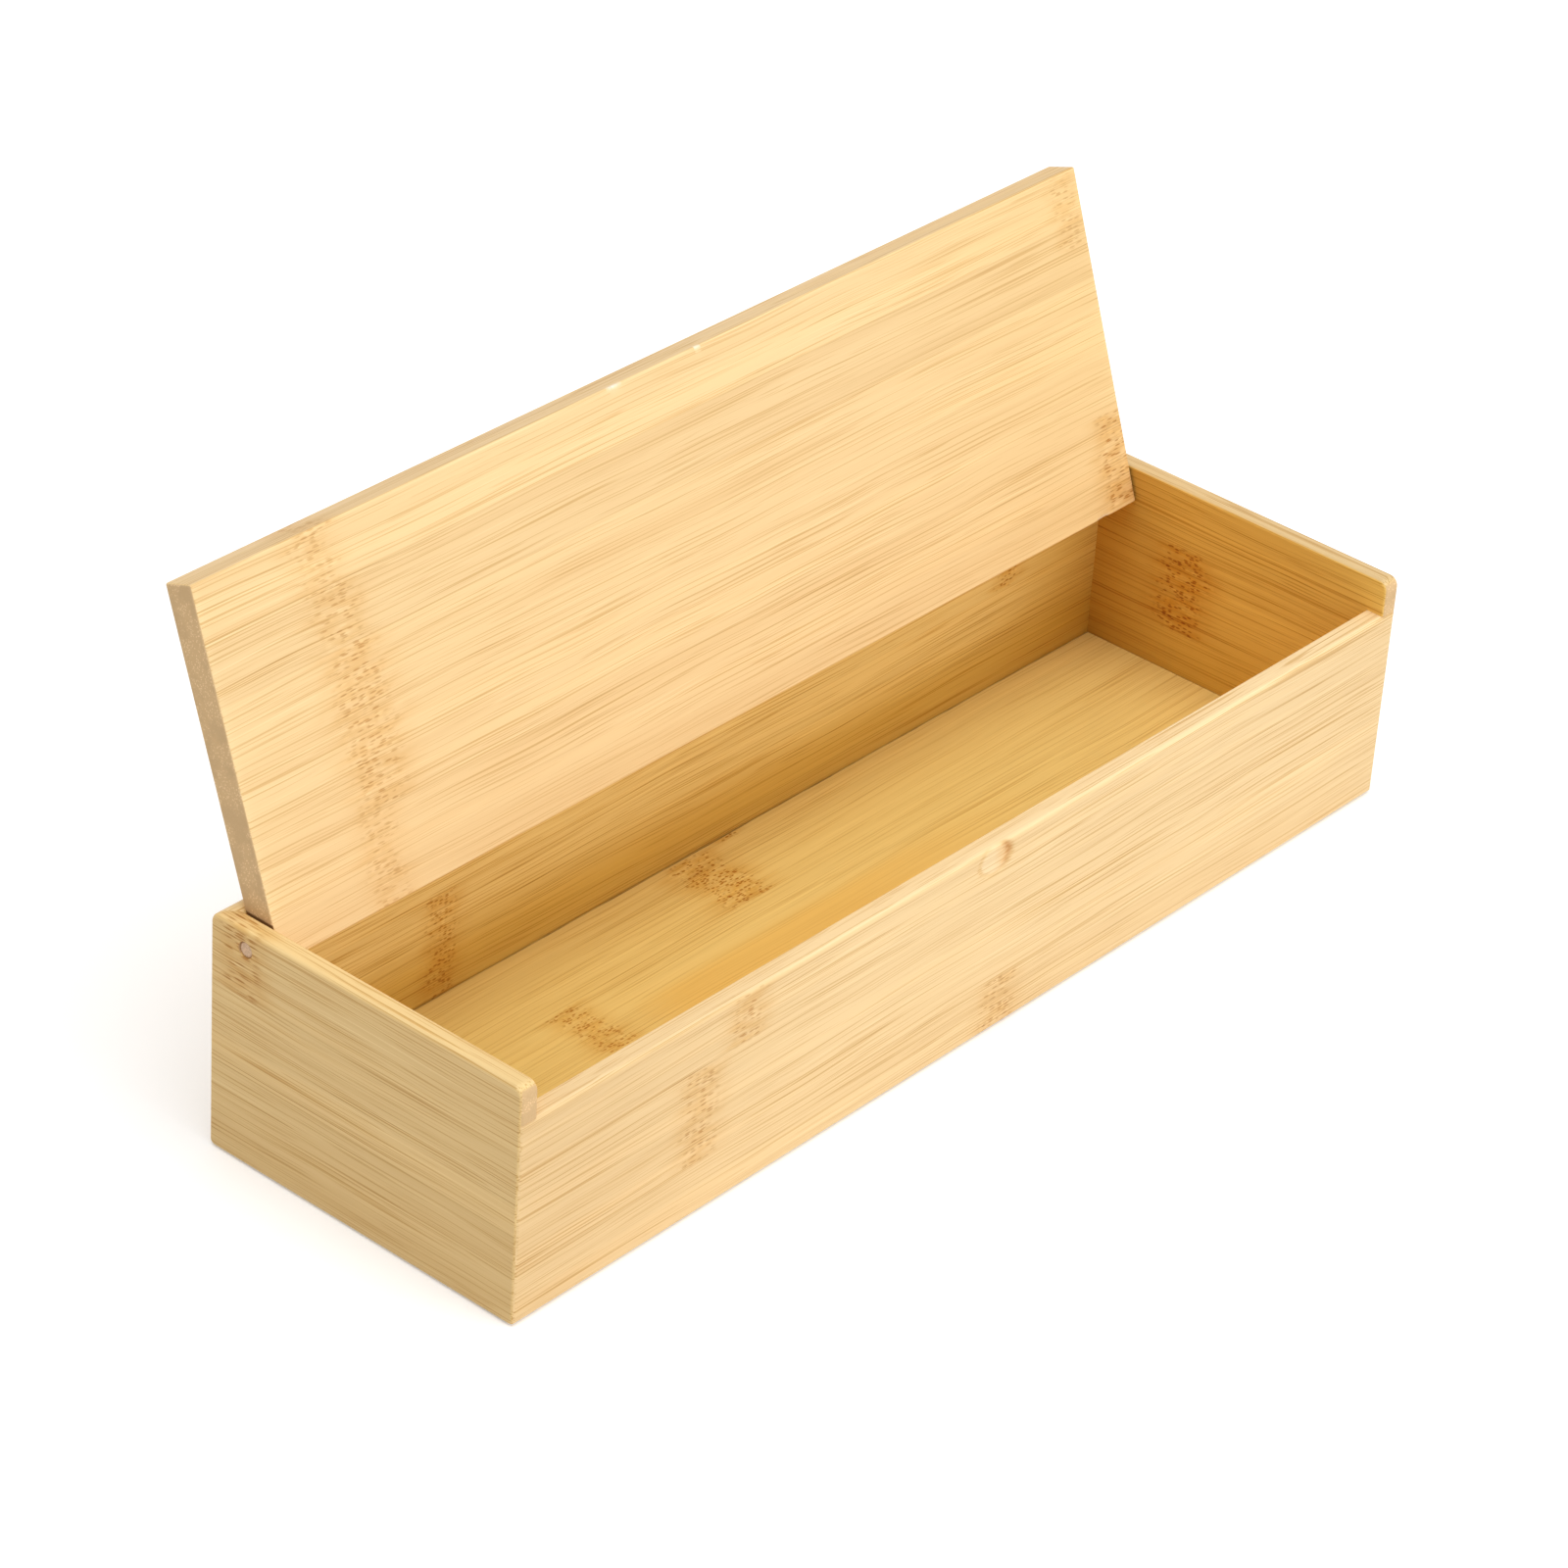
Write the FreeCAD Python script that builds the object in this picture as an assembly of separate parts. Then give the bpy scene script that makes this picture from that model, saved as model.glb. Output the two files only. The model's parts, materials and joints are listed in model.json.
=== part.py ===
"""Lidded bamboo cutlery box: four mitred walls, a floor tongued into them, and a lid on two dowels.

Millimetres, +Z up. X runs along the box, Y from front to back. The origin is on the plane that the box
stands on, at the middle of its footprint. The lid is drawn open, leaning on the back wall.
"""
import FreeCAD
import Part
import math
import os

Vector = FreeCAD.Vector

# Box, measured outside
box_length = 300.0
box_depth = 90.0
box_height = 60.0

# Walls
end_thickness = 5.0
front_thickness = 5.0
back_thickness = 5.0

# Floor board, flush with the lower edges of the walls, and its tongue in their groove
floor_thickness = 10.0
floor_seam = 0.2
tongue_thickness = 3.0
tongue_rise = 3.5
groove_depth = 2.0
groove_room = 0.3

# Lid board
lid_thickness = 8.0
lid_top_inset = 0.9
lid_end_gap = 0.5
lid_seat_gap = 0.1
lid_stop_gap = 0.1
lid_swing_gap = 0.26
lid_rear_round = 3.0
lid_edge_round = 0.5

# Dowels that the lid turns on
pin_diameter = 4.0
pin_from_lid_rear = 5.0
pin_reach = 15.0
pin_recess = 0.3
pin_chamfer = 0.4
pin_seat_clearance = 0.02
pin_running_clearance = 0.08
pin_end_room = 0.5

# Eased edges
top_round = 2.5
bottom_round = 1.5
end_edge_round = 1.0
end_inner_round = 0.8
front_outer_round = 1.2
front_inner_round = 0.6
stop_round = 2.0
round_limit_share = 0.9

# Extra length that a cutting shape has past the face it cuts
overrun = 5.0

# How far an edge may lie from the place it is looked for at
place_tolerance = 1e-6

# Places that follow from the sizes above
half_length = box_length / 2
half_depth = box_depth / 2
inner_x = half_length - end_thickness
inner_front_y = front_thickness - half_depth
inner_back_y = half_depth - back_thickness
front_height = box_height - lid_top_inset - lid_thickness - lid_seat_gap

lid_half = lid_thickness / 2
lid_half_length = inner_x - lid_end_gap
lid_round_reach = math.hypot(pin_from_lid_rear - lid_rear_round, lid_half - lid_rear_round) + lid_rear_round
pin_to_back_wall = max(lid_round_reach, pin_from_lid_rear) + lid_swing_gap
pin_y = inner_back_y - pin_to_back_wall
pin_z = front_height + lid_seat_gap + lid_half
pin_radius = pin_diameter / 2

# The open lid's upper face lies lid_stop_gap off the rounded top edge of the back wall
stop_across = pin_to_back_wall + stop_round
stop_above = box_height - stop_round - pin_z
stop_distance = lid_half + stop_round + lid_stop_gap
lid_lean = math.degrees(
    math.acos(stop_distance / math.hypot(stop_across, stop_above)) - math.atan2(stop_above, stop_across)
)
closing_angle = 90 + lid_lean


def block(x_span, y_span, z_span):
    """A box between two places along each axis."""
    size = [high - low for low, high in (x_span, y_span, z_span)]
    return Part.makeBox(*size, Vector(x_span[0], y_span[0], z_span[0]))


def edges_at(shape, **places):
    """The edges that lie whole at the given places, such as y=0 and z=10."""
    def lies_there(edge):
        bounds = edge.BoundBox
        return all(
            math.isclose(getattr(bounds, axis.upper() + end), place, abs_tol=place_tolerance)
            for axis, place in places.items()
            for end in ("Min", "Max")
        )
    return [edge for edge in shape.Edges if lies_there(edge)]


def rounded(shape, radius, *edge_groups):
    """The shape with the edges of the groups rounded."""
    return shape.makeFillet(radius, [edge for group in edge_groups for edge in group])


def outside():
    """The box's outer form as one block with its edges eased. Every wall is cut from it."""
    form = block((-half_length, half_length), (-half_depth, half_depth), (0, box_height))
    form = rounded(
        form, top_round,
        edges_at(form, y=-half_depth, z=box_height),
        edges_at(form, y=half_depth, z=box_height),
    )
    form = rounded(form, bottom_round, edges_at(form, y=-half_depth, z=0), edges_at(form, y=half_depth, z=0))
    end_round = min(end_edge_round, round_limit_share * min(top_round, bottom_round))
    return rounded(form, end_round, edges_at(form, x=-half_length), edges_at(form, x=half_length))


def mitre_prism(outer_y, inner_y, top_z):
    """What lies between the mitre planes of a long wall, up to a height and past its outer face."""
    thickness = abs(outer_y - inner_y)
    stretch = overrun / math.hypot(end_thickness, thickness)
    far_x = half_length + stretch * end_thickness
    far_y = outer_y + math.copysign(stretch * thickness, outer_y)
    plan = [(-inner_x, inner_y), (inner_x, inner_y), (far_x, far_y), (-far_x, far_y), (-inner_x, inner_y)]
    outline = Part.makePolygon([Vector(x, y, -overrun) for x, y in plan])
    return Part.Face(outline).extrude(Vector(0, 0, top_z + overrun))


def groove():
    """The room that the floor's groove takes out of the walls."""
    return block(
        (-inner_x - groove_depth, inner_x + groove_depth),
        (inner_front_y - groove_depth, inner_back_y + groove_depth),
        (tongue_rise, tongue_rise + tongue_thickness),
    )


def cross_bore(radius, x_span):
    """A cylinder on the lid's pivot axis."""
    return Part.makeCylinder(radius, x_span[1] - x_span[0], Vector(x_span[0], pin_y, pin_z), Vector(1, 0, 0))


def end_panel(side):
    """An end wall: square ear above the front wall, mitred below it and all the way up at the back."""
    faces = sorted((side * inner_x, side * half_length))
    panel = outside().common(block(faces, (-half_depth, half_depth), (0, box_height)))
    panel = rounded(panel, end_inner_round, edges_at(panel, x=side * inner_x))
    panel = panel.cut(mitre_prism(-half_depth, inner_front_y, front_height))
    panel = panel.cut(mitre_prism(half_depth, inner_back_y, box_height + overrun))
    panel = panel.cut(groove())
    return panel.cut(cross_bore(pin_radius + pin_seat_clearance, (faces[0] - overrun, faces[1] + overrun)))


def front_panel():
    """The low front wall, with eased top edges and mitred ends."""
    panel = block((-half_length, half_length), (-half_depth, inner_front_y), (0, front_height))
    panel = rounded(panel, front_outer_round, edges_at(panel, y=-half_depth, z=front_height))
    panel = rounded(panel, front_inner_round, edges_at(panel, y=inner_front_y, z=front_height))
    panel = panel.common(outside()).common(mitre_prism(-half_depth, inner_front_y, front_height))
    return panel.cut(groove())


def back_panel():
    """The full height back wall, with the rounded inner edge that the open lid leans on."""
    panel = block((-half_length, half_length), (inner_back_y, half_depth), (0, box_height))
    panel = rounded(panel, stop_round, edges_at(panel, y=inner_back_y, z=box_height))
    panel = panel.common(outside()).common(mitre_prism(half_depth, inner_back_y, box_height))
    return panel.cut(groove())


def floor_panel():
    """The floor board, a seam short of the walls, with a tongue that fills the groove in height."""
    hold = groove_depth - groove_room
    board = block(
        (floor_seam - inner_x, inner_x - floor_seam),
        (inner_front_y + floor_seam, inner_back_y - floor_seam),
        (0, floor_thickness),
    )
    tongue = block(
        (-inner_x - hold, inner_x + hold),
        (inner_front_y - hold, inner_back_y + hold),
        (tongue_rise, tongue_rise + tongue_thickness),
    )
    return board.fuse(tongue)


def lid_panel():
    """The lid, drawn closed with a blind bore in each end, then turned back to where it leans."""
    front_y = -half_depth
    rear_y = pin_y + pin_from_lid_rear
    under_z = pin_z - lid_half
    top_z = pin_z + lid_half
    lid = block((-lid_half_length, lid_half_length), (front_y, rear_y), (under_z, top_z))
    lid = rounded(lid, lid_rear_round, edges_at(lid, y=rear_y, z=top_z))
    lid = rounded(
        lid, lid_edge_round,
        edges_at(lid, y=rear_y, z=under_z),
        edges_at(lid, y=front_y, z=under_z),
        edges_at(lid, y=front_y, z=top_z),
        edges_at(lid, x=-lid_half_length),
        edges_at(lid, x=lid_half_length),
    )
    for side in (-1, 1):
        span = sorted((side * (inner_x - pin_reach - pin_end_room), side * (inner_x + overrun)))
        lid = lid.cut(cross_bore(pin_radius + pin_running_clearance, span))
    lid.rotate(Vector(0, pin_y, pin_z), Vector(1, 0, 0), -closing_angle)
    return lid


def pivot_pin(side):
    """A dowel from just inside an end wall's outer face to its reach inside the lid."""
    pin = cross_bore(pin_radius, sorted((side * (half_length - pin_recess), side * (inner_x - pin_reach))))
    return pin.makeChamfer(pin_chamfer, [edge for edge in pin.Edges if isinstance(edge.Curve, Part.Circle)])


pieces = {
    "left_end_panel": end_panel(-1),
    "right_end_panel": end_panel(1),
    "front_panel": front_panel(),
    "back_panel": back_panel(),
    "floor_panel": floor_panel(),
    "lid_panel": lid_panel(),
    "left_pivot_pin": pivot_pin(-1),
    "right_pivot_pin": pivot_pin(1),
}

os.makedirs("parts", exist_ok=True)
for name, shape in pieces.items():
    shape.exportStep(f"parts/{name}.step")
    print(f"{name}: {len(shape.Solids)} solid, {shape.Volume:.0f} mm3, valid {shape.isValid()}")
print(f"pivot axis at y {pin_y:.4f}, z {pin_z:.4f}")
print(f"open lid leans back {lid_lean:.4f} degrees and closes by {closing_angle:.4f} degrees")
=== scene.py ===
"""Looks of a lidded bamboo cutlery box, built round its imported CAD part.

It is laid out as an add-on: property groups hold what a user would change, one operator makes or dresses
each piece or pair of like pieces, and a sidebar panel lists them. Run as a script, it does them all.

Settings are in metres, in the part's own frame. A board's own places are in millimetres: along its grain,
across it, and through it from the face that shows.
"""

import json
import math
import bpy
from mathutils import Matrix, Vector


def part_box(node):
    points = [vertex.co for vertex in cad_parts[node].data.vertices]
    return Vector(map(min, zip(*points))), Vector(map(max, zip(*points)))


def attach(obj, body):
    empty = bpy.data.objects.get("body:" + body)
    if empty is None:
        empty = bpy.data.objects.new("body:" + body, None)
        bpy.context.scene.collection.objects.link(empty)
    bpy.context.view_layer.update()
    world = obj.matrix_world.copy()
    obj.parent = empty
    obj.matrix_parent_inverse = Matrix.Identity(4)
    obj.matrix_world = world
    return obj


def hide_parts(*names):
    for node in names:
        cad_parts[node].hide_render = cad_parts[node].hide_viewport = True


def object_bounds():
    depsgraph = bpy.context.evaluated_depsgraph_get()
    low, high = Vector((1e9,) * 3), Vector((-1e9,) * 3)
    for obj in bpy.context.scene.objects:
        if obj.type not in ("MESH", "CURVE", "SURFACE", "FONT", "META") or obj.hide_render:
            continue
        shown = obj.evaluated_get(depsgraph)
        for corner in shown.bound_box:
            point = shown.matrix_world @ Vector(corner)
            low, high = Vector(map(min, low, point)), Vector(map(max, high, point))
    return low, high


bl_info = {
    "name": "Bamboo Cutlery Box",
    "version": (1, 0, 0),
    "blender": (4, 5, 0),
    "location": "3D View > Sidebar > Cutlery Box",
    "description": "Makes the lid and front board, and dresses the box in bamboo on a plain studio stage",
    "category": "Object",
}

from functools import partial, reduce
from types import SimpleNamespace
from typing import NamedTuple

import bpy
import numpy as np
from bpy.props import FloatProperty, FloatVectorProperty, PointerProperty
from mathutils import Matrix, Vector

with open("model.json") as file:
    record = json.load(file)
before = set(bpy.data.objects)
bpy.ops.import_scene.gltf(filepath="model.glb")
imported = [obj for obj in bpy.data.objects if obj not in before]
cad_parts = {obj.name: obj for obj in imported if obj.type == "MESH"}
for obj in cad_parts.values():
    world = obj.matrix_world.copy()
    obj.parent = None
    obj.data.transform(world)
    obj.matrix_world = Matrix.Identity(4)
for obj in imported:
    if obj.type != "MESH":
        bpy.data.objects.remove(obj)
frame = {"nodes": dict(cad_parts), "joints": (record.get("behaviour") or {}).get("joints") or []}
cad_low, cad_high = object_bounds()

MM = 0.001

# Where the CAD boards and the lid's hinge are, and how far the open lid leans back
box_low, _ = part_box("left_end_panel")
_, box_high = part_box("right_end_panel")
front_low, front_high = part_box("front_panel")
lid_low, lid_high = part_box("lid_panel")
hinge = next(joint for joint in frame["joints"] if joint["name"] == "lid_swing")
hinge_place = Vector(hinge["pos_m"])
LID_LEAN = math.radians(19.4788)

X_AXIS = Vector((1, 0, 0))
Y_AXIS = Vector((0, 1, 0))
Z_AXIS = Vector((0, 0, 1))

# From the lid's rear edge, which is the lower one when it is open, to the dowels
LID_REAR_TO_DOWEL = 5 * MM


class BoardAxes(NamedTuple):
    """A board's own directions in the part's frame: its grain, across it, and where they start."""
    along: Vector
    across: Vector
    origin: Vector = Vector((0, 0, 0))

    def turn(self):
        """The rotation from the part's frame to the board's."""
        return Matrix((self.along, self.across, self.along.cross(self.across)))


class NodeBand(NamedTuple):
    """A bamboo node across a board: its place and half width along the grain, and its reach across it."""
    place: float
    half_width: float
    low: float
    high: float
    strength: float


class Chip(NamedTuple):
    """A chip in a long edge of the lid: its place and half length along the edge, and its depth."""
    place: float
    half_length: float
    depth: float


# Bands and blemishes that the boards show
LID_BANDS = (
    NodeBand(-111, 6, 70, 86, 0.5),
    NodeBand(-108, 7, 57, 71, 0.6),
    NodeBand(-107, 8, 21, 58, 0.68),
    NodeBand(-111, 5.5, -1, 21, 0.5),
    NodeBand(138.5, 4, 66, 84, 0.5),
    NodeBand(140.5, 6, 1, 24, 0.95),
)
FRONT_BANDS = (
    NodeBand(-94, 6, 14, 38, 0.68),
    NodeBand(-80, 5.5, 38.5, 50.4, 0.8),
    NodeBand(7, 6, -1, 14, 0.68),
)
FLOOR_BANDS = (
    NodeBand(-5, 7.5, 17.5, 39, 1.2),
    NodeBand(-70, 5.2, -3, 17, 1.0),
    NodeBand(9.5, 4, 38.3, 40, 1.2),
)
BACK_BANDS = (
    NodeBand(-84.5, 5, 8, 37, 1.0),
    NodeBand(110, 4.5, 37, 44, 1.15),
)
LEFT_BANDS = (NodeBand(35.5, 6, 43, 61, 0.9),)
RIGHT_BANDS = (NodeBand(13.5, 7.5, 21.5, 44.5, 1.4),)
LID_TOP_CHIPS = (Chip(-17, 2.5, 0.45), Chip(10.3, 1.1, 0.45))
LID_LOWER_CHIPS = (Chip(132, 2.6, 0.35),)

# The bud knot in the front board: its middle and half sizes along and across, and how deep its rim is
KNOT_MIDDLE = (1.4, 47.5)
KNOT_HALF = (5.5, 3.6)
KNOT_RIM_DEPTH = 0.6

# The knot's rim and eye, and the blush and scar in it, in half sizes from its middle
RIM_WIDTH = 0.13
EYE_EDGE = 1.05
EYE_SLOPE = 4
BLUSH_START = -0.1
BLUSH_LENGTH = 0.8
SCAR_START = 0.25
SCAR_LENGTH = 0.5
SCAR_PLACE = 0.84
SCAR_WIDTH = 0.26
SCAR_TILT = 0.6
SCAR_LEAST = 0.4


# What a user would change

def setting_of(kind, **fixed):
    """A maker of settings of one kind, each with its own name, description and default."""
    def made(name, description, default):
        return kind(name=name, description=description, default=default, **fixed)
    return made


Length = setting_of(FloatProperty, min=0, unit="LENGTH", precision=5)
Share = setting_of(FloatProperty, min=0, max=1, subtype="FACTOR")
Angle = setting_of(FloatProperty, subtype="ANGLE", unit="ROTATION")
Strength = setting_of(FloatProperty, min=0)
Lens = setting_of(FloatProperty, min=1)
Place = setting_of(FloatVectorProperty, subtype="TRANSLATION", unit="LENGTH")
Colour = setting_of(FloatVectorProperty, min=0, max=1, size=3, subtype="COLOR")


class BambooSettings(bpy.types.PropertyGroup):
    """Colours and finish of the boards and dowels."""
    lid_colour: Colour("Lid", "Bamboo of the lid", (0.89, 0.635, 0.32))
    front_colour: Colour("Front", "Bamboo of the front board", (0.87, 0.625, 0.32))
    left_colour: Colour("Left end", "Bamboo of the left end board", (0.80, 0.555, 0.24))
    right_colour: Colour("Right end", "Bamboo of the right end board", (0.81, 0.56, 0.245))
    back_colour: Colour("Back", "Bamboo of the back board", (0.83, 0.58, 0.265))
    # Inner colours are the inside as lit in the box, and foot colours are painted shade down at the floor
    end_inner_colour: Colour("Inside of ends", "Inner faces of the ends", (0.87, 0.54, 0.125))
    end_foot_shade_colour: Colour("Foot of ends", "The same faces down at the floor", (0.71, 0.42, 0.073))
    back_inner_colour: Colour("Inside of back", "Inner face of the back", (0.91, 0.68, 0.265))
    back_foot_shade_colour: Colour("Foot of back", "The same face down at the floor", (0.69, 0.44, 0.095))
    floor_colour: Colour("Floor", "Bamboo of the floor board", (0.81, 0.57, 0.185))
    streak_tint: Colour("Streaks", "What darker fibres keep of a colour", (0.75, 0.62, 0.42))
    warm_tint: Colour("Stain", "What a node's stain keeps of a colour", (0.84, 0.67, 0.40))
    node_tint: Colour("Nodes", "What a node's dashes keep of a colour", (0.60, 0.37, 0.12))
    # Besides the knot's scar, this colour paints the seam lines' grime and painted shade, and the painted
    # gap shade on the lid's cut ends
    scar_grime_and_shade_colour: Colour("Scars", "Dirt in a seam and the scar of a knot", (0.38, 0.15, 0.02))
    end_grain_colour: Colour("End grain", "Cut ends of the fibres", (0.68, 0.45, 0.22))
    dowel_colour: Colour("Dowels", "Pivot dowels", (0.72, 0.48, 0.30))
    streak_share: Share("Streak strength", "How strongly the fibres show", 0.5)
    roughness: Share("Roughness", "Roughness of the satin boards", 0.46)
    relief: Length("Relief", "Height of the fibres in the surface", 0.06 * MM)


class LidSettings(bpy.types.PropertyGroup):
    """Sizes of the lid board."""
    length: Length("Length", "Along the box", lid_high.x - lid_low.x)
    depth: Length("Depth", "From its rear edge to its front edge", 84.504 * MM)
    thickness: Length("Thickness", "Through the board", 8 * MM)
    edge_round: Length("Edge round", "Round of most edges", 0.5 * MM)
    rear_round: Length("Rear round", "Round that clears the back board", 3 * MM)
    bore_radius: Length("Bore radius", "Hole for a dowel in each end", 2.08 * MM)
    bore_depth: Length("Bore depth", "How deep the hole goes", 15.5 * MM)


class FrontSettings(bpy.types.PropertyGroup):
    """Sizes of the front board."""
    length: Length("Length", "Outside, from corner to corner", box_high.x - box_low.x)
    height: Length("Height", "From its lower edge to its top", front_high.z - front_low.z)
    thickness: Length("Thickness", "Through the board", front_high.y - front_low.y)
    outer_round: Length("Outer top round", "Eased top edge outside", 1.2 * MM)
    inner_round: Length("Inner top round", "Eased top edge inside", 0.6 * MM)
    lower_round: Length("Lower round", "Eased lower edge outside", 1.5 * MM)
    corner_round: Length("Corner round", "Eased upright corners", 1 * MM)
    groove_low: Length("Groove low", "Lower side of the floor's groove", 3.5 * MM)
    groove_high: Length("Groove high", "Upper side of the floor's groove", 6.5 * MM)
    groove_depth: Length("Groove depth", "How far the groove goes in", 2 * MM)
    knot_depth: Length("Knot depth", "How far the bud knot lies in the face", 0.22 * MM)


class StageSettings(bpy.types.PropertyGroup):
    """Camera and light. A lamp of strength 1 lights a face to its own colour."""
    camera_place: Place("Camera", "Where the camera stands", (-0.83764, -0.66622, 0.72026))
    camera_aim: Place("Aim", "Point in the middle of the picture", (0.00902, 0.02245, 0.03251))
    camera_roll: Angle("Roll", "Turn of the camera about its own view", math.radians(4.054))
    lens: Lens("Lens", "Focal length in mm", 129.82)
    ambient: Strength("Ambient", "Light from all round", 0.48)
    key_strength: Strength("Key", "Light of the soft lamp in front", 0.34)
    top_strength: Strength("Top", "Light of the soft lamp above", 0.49)


class CutleryBoxSettings(bpy.types.PropertyGroup):
    """All settings of the cutlery box."""
    bamboo: PointerProperty(type=BambooSettings)
    lid: PointerProperty(type=LidSettings)
    front: PointerProperty(type=FrontSettings)
    stage: PointerProperty(type=StageSettings)


def in_mm(group):
    """The lengths of a group of settings, in mm."""
    return SimpleNamespace(**{key: getattr(group, key) / MM for key in type(group).__annotations__})


# How the made boards are meshed, chipped and worn, worn edges also lightened as painted highlight: lengths
# in mm, and counts of points and rings
GUARD = 0.2
EVEN_START = 2.5
CORNER_POINTS = 7
WIDE_CORNER_POINTS = 9
SMOOTH_ANGLE = math.radians(40)
LEAST_ROUND = 0.06
LID_RINGS = 117
LID_SIDE_POINTS = (52, 5, 52, 5)
CHIP_MARGIN = 1
CHIP_STEP = 0.2
CHIP_REACH = 1.3
CHIP_SLANT = 0.6
CHIP_WAVES = (9.1, 5.3)
CHIP_RAGGED = 0.25
HUMP_POWER = 0.7
HOLLOW_POWER = 0.6
CHIP_PALE_REACH = 0.6
CHIP_PALE_DEPTH = 0.4
FRONT_RINGS = 101
MITRE_RINGS = 6
KNOT_RING_PLACES = np.arange(-5, 10, 0.3)
KNOT_LOW = 42.5
WEAR_AND_HIGHLIGHT_REACH = 0.7
SAME_PLACE = 1e-6
FRONT_EDGE_REACH = 0.9
FRONT_CORNER_REACH = 0.8


# Surfaces

def arc(centre, radius, start, stop, count):
    """Points of a circle from one angle to another, in degrees: centre plus radius times (cos, sin)."""
    angle = np.radians(np.linspace(start, stop, count))
    return np.asarray(centre) + radius * np.stack([np.cos(angle), np.sin(angle)], -1)


def run(start, stop, count):
    """Points of a straight run without its ends: a guard point close to each end, and even ones between."""
    start = np.asarray(start, float)
    stop = np.asarray(stop, float)
    near = GUARD / np.linalg.norm(stop - start)
    even = np.linspace(EVEN_START * near, 1 - EVEN_START * near, count)
    share = np.concatenate([[near], even, [1 - near]])
    return start + share[:, None] * (stop - start)


def bell(distance, reach):
    """1 at no distance, falling smoothly to 0: exp of minus the square of distance by reach."""
    return np.exp(-(distance / reach) ** 2)


def linked(name, data):
    """A new object in the scene."""
    made = bpy.data.objects.new(name, data)
    bpy.context.scene.collection.objects.link(made)
    return made


def closed_tube(name, rings, attributes):
    """A mesh object from a grid of rings: quads between neighbours, and a flat face over each end."""
    count, size = rings.shape[:2]
    index = np.arange(count * size).reshape(count, size)
    here = index[:-1]
    there = index[1:]
    quads = np.stack([here, np.roll(here, -1, 1), np.roll(there, -1, 1), there], -1).reshape(-1, 4)
    faces = quads.tolist() + [index[0, ::-1].tolist(), index[-1].tolist()]
    mesh = bpy.data.meshes.new(name)
    mesh.from_pydata(rings.reshape(-1, 3).tolist(), [], faces)
    for attribute, values in attributes.items():
        layer = mesh.attributes.new(attribute, "FLOAT", "POINT")
        layer.data.foreach_set("value", values.astype(np.float32).ravel())
    mesh.polygons.foreach_set("use_smooth", np.ones(len(mesh.polygons), bool))
    mesh.set_sharp_from_angle(angle=SMOOTH_ANGLE)
    mesh.update()
    return linked(name, mesh)


def placed(board, axes):
    """Board points in mm, as points of the part's frame in metres: origin plus a share of each axis."""
    return board @ np.array(axes.turn()) * MM + np.array(axes.origin)


def lid_axes(thickness):
    """The open lid: along the box, up from its lower edge, and out of the face that shows."""
    up = Vector((0, math.sin(LID_LEAN), math.cos(LID_LEAN)))
    out = X_AXIS.cross(up)
    return BoardAxes(X_AXIS, up, hinge_place - up * LID_REAR_TO_DOWEL + out * thickness / 2)


def lid_stations(half, edge):
    """Where the lid's rings lie along it, closer together at its chips, and how far each is drawn in.

    Round an end edge at angle a: place = half - edge + edge sin a, drawn in by edge - edge cos a.
    """
    fine = []
    for chip in LID_TOP_CHIPS + LID_LOWER_CHIPS:
        reach = chip.half_length + CHIP_MARGIN
        fine.append(np.arange(chip.place - reach, chip.place + reach, CHIP_STEP))
    body = np.unique(np.concatenate([np.linspace(edge - half, half - edge, LID_RINGS), *fine]).round(4))
    body = body[np.abs(body) <= half - edge]
    turn = np.radians(np.linspace(0, 90, CORNER_POINTS))[1:]
    out = half - edge + edge * np.sin(turn)
    drawn_in = edge - edge * np.cos(turn)
    flat = [edge + GUARD]
    x = np.concatenate([[-half], -out[::-1], body, out, [half]])
    inset = np.concatenate([flat, drawn_in[::-1], np.zeros_like(body), drawn_in, flat])
    return x, inset


def lid_outlines(lid, insets):
    """Rounded rectangles across the lid, one for each inset: corners are arcs, sides are straight runs.

    An inset moves every side in by that much and takes it off each radius, down to a least one.
    """
    corners = (
        (0, -lid.thickness, lid.rear_round, 180),
        (lid.depth, -lid.thickness, lid.edge_round, 270),
        (lid.depth, 0, lid.edge_round, 0),
        (0, 0, lid.edge_round, 90),
    )

    def corner(inset, across, through, radius, start):
        small = max(radius - inset, LEAST_ROUND)
        to_middle = small + inset
        centre = (
            across + (to_middle if across == 0 else -to_middle),
            through + (to_middle if through < 0 else -to_middle),
        )
        return arc(centre, small, start, start + 90, CORNER_POINTS)

    def outline(inset):
        arcs = [corner(inset, *place) for place in corners]
        parts = []
        for here, following, count in zip(arcs, arcs[1:] + arcs[:1], LID_SIDE_POINTS):
            parts += [here, run(here[-1], following[0], count)]
        return np.concatenate(parts)

    return np.stack([outline(inset) for inset in insets])


def chip_field(x, chips):
    """Depth of the chips along an edge: each is a smooth hump, ragged by two waves, with 0 between them."""
    depth = np.zeros_like(x)
    first, second = CHIP_WAVES
    for chip in chips:
        u = (x - chip.place) / chip.half_length
        ragged = 1 - CHIP_RAGGED + CHIP_RAGGED * np.sin(first * u + chip.place) * np.cos(second * u)
        hump = np.clip(1 - u ** 2, 0, None) ** HUMP_POWER
        depth = np.maximum(depth, chip.depth * ragged * hump)
    return depth


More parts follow.
